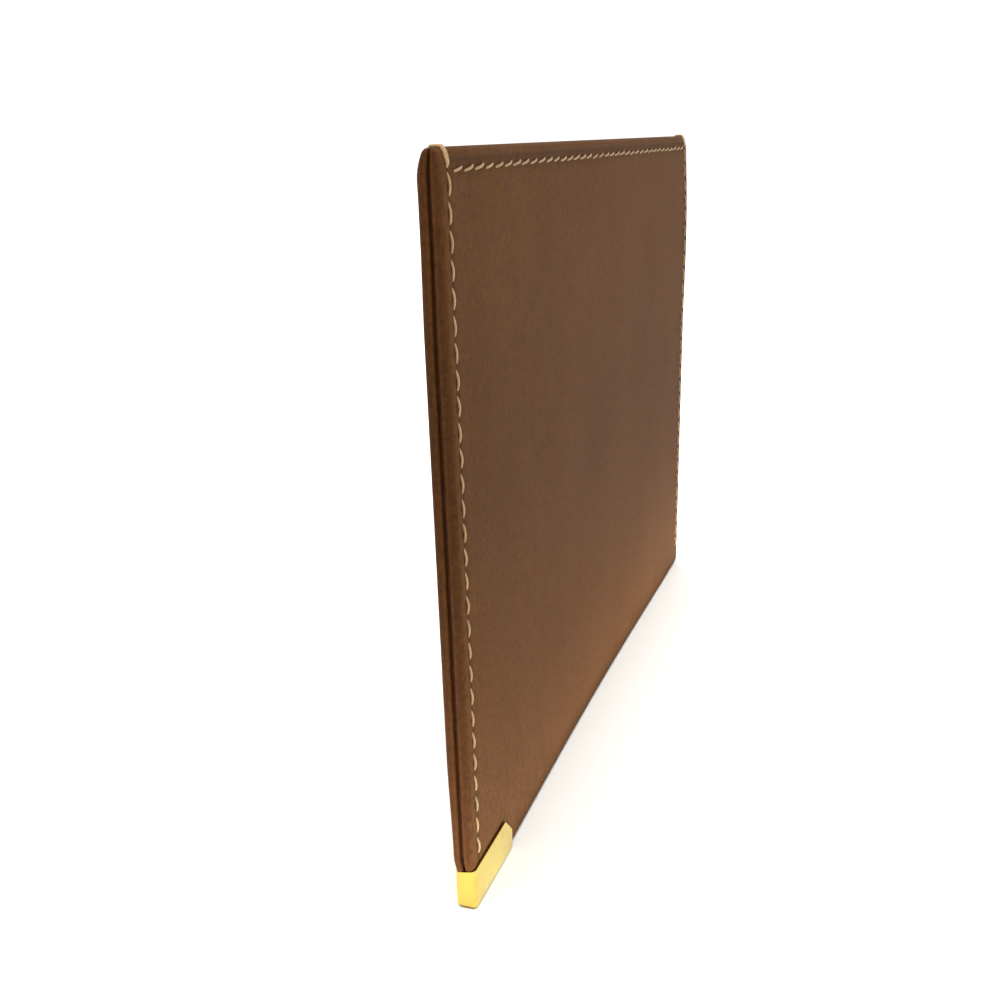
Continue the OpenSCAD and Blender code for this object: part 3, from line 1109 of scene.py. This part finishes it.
def low_panel(name, lo, hi, radiance, colour):
    """A reflector panel that lies just over the floor from corner lo to hi, in mm, facing up.
    It only fills in diffuse light, so it is never seen, not even in the brass."""
    width, depth = (hi[0] - lo[0]) * MM, (hi[1] - lo[1]) * MM
    data = bpy.data.lights.new(name, "AREA")
    data.shape = "RECTANGLE"
    data.size, data.size_y = width, depth
    data.energy = radiance * math.pi * width * depth
    data.color = colour
    light = bpy.data.objects.new(name, data)
    light.location = ((lo[0] + hi[0]) / 2 * MM, (lo[1] + hi[1]) / 2 * MM, PANEL_Z * MM)
    light.rotation_euler = (math.pi, 0, 0)
    light.visible_camera = False
    light.visible_glossy = False
    bpy.context.scene.collection.objects.link(light)


def sky_light(irradiance, softness, colour):
    """Even light from straight above, as from a wide ceiling softbox."""
    data = bpy.data.lights.new("ceiling", "SUN")
    data.energy = irradiance
    data.angle = math.radians(softness)
    data.color = colour
    bpy.context.scene.collection.objects.link(bpy.data.objects.new("ceiling", data))


CEILING_IRRADIANCE = 3.25
CEILING_SOFTNESS = 40
CEILING_COLOUR = (1, 0.99, 0.965)
PANEL_COLOUR = (1, 0.97, 0.93)
# The panels along the two walls, and those at the two ends: radiance, distance from the holder
# and width in millimetres
SIDE_PANEL = (4.4, 1, 12)
END_PANEL = (2.5, 1, 23)


def build_lights():
    """A pale world, a wide ceiling light and reflector panels all round the holder's foot."""
    world = bpy.data.worlds.new("studio")
    bpy.context.scene.world = world
    world.use_nodes = True
    tree = world.node_tree
    coords = tree.nodes.new("ShaderNodeTexCoord")
    split = tree.nodes.new("ShaderNodeSeparateXYZ")
    ramp = tree.nodes.new("ShaderNodeMapRange")
    # Bright towards the far end of the holder, dimmer towards its near end
    ends = {"From Min": -0.7, "From Max": 0.1, "To Min": 0.35, "To Max": 1.12}
    for key, value in ends.items():
        ramp.inputs[key].default_value = value
    tree.links.new(coords.outputs["Generated"], split.inputs["Vector"])
    tree.links.new(split.outputs["X"], ramp.inputs["Value"])
    background = tree.nodes["Background"]
    background.inputs["Color"].default_value = (1, 0.99, 0.97, 1)
    tree.links.new(ramp.outputs["Result"], background.inputs["Strength"])
    sky_light(CEILING_IRRADIANCE, CEILING_SOFTNESS, CEILING_COLOUR)
    radiance, gap, width = SIDE_PANEL
    for name, side in (("front_panel", -1), ("back_panel", 1)):
        lo, hi = sorted((side * (HALF_T + gap), side * (HALF_T + gap + width)))
        low_panel(name, (-HALF_W - 20, lo), (HALF_W + 10, hi), radiance, PANEL_COLOUR)
    radiance, gap, width = END_PANEL
    for name, side in (("near_panel", -1), ("far_panel", 1)):
        lo, hi = sorted((side * (HALF_W + gap), side * (HALF_W + gap + width)))
        low_panel(name, (lo, -20), (hi, 40), radiance, PANEL_COLOUR)


# Place in metres, then turns in degrees and the lens in millimetres
CAMERA_AT = (-0.1429, -0.0393, 0.0754)
CAMERA_YAW = 20.475
CAMERA_PITCH = 17.67
CAMERA_ROLL = 1.98
CAMERA_LENS = 40.7


def build_camera():
    """A camera near the guard's end that looks along the front wall and a little down."""
    yaw, pitch, roll = (math.radians(v) for v in (CAMERA_YAW, CAMERA_PITCH, CAMERA_ROLL))
    level = math.cos(pitch)
    forward = Vector((level * math.cos(yaw), level * math.sin(yaw), -math.sin(pitch)))
    right = forward.cross(Vector((0, 0, 1))).normalized()
    down = forward.cross(right)
    across = right * math.cos(roll) + down * math.sin(roll)
    below = down * math.cos(roll) - right * math.sin(roll)
    data = bpy.data.cameras.new("camera")
    data.lens = CAMERA_LENS
    data.sensor_width = 36
    data.clip_start = 0.002
    camera = bpy.data.objects.new("camera", data)
    turn = Matrix((across, -below, -forward)).transposed()
    camera.matrix_world = Matrix.Translation(CAMERA_AT) @ turn.to_4x4()
    bpy.context.scene.collection.objects.link(camera)
    bpy.context.scene.camera = camera


# ---------------------------------------------------------------- the holder

build_camera()
build_floor()
build_lights()
bpy.context.scene.view_settings.view_transform = "Standard"

leather = build_outer_leather()
leather.data.materials.append(leather_material())

seam_linen = thread_material("waxed_linen", (1.0, 1.0, 1.0))
for side, count, label in ((-1, LEFT_STITCHES, "left"), (1, RIGHT_STITCHES, "right")):
    seam = seam_stitches(label + "_seam_stitches", side * SEAM_X, count, label + "_seam_thread")
    seam.data.materials.append(seam_linen)
# The mouth rows' linen is painted darker, as shade, to offset the light from above that falls most
# on them
mouth_linen = thread_material("mouth_linen_painted_shade", (0.78, 0.76, 0.71))
for back, label in ((False, "front"), (True, "back")):
    row = mouth_stitches(label + "_mouth_stitches", back, label + "_mouth_thread")
    row.data.materials.append(mouth_linen)

lining = build_lining()
lining.data.materials.append(lining_material())
build_boards()
build_fillers()
build_guard()
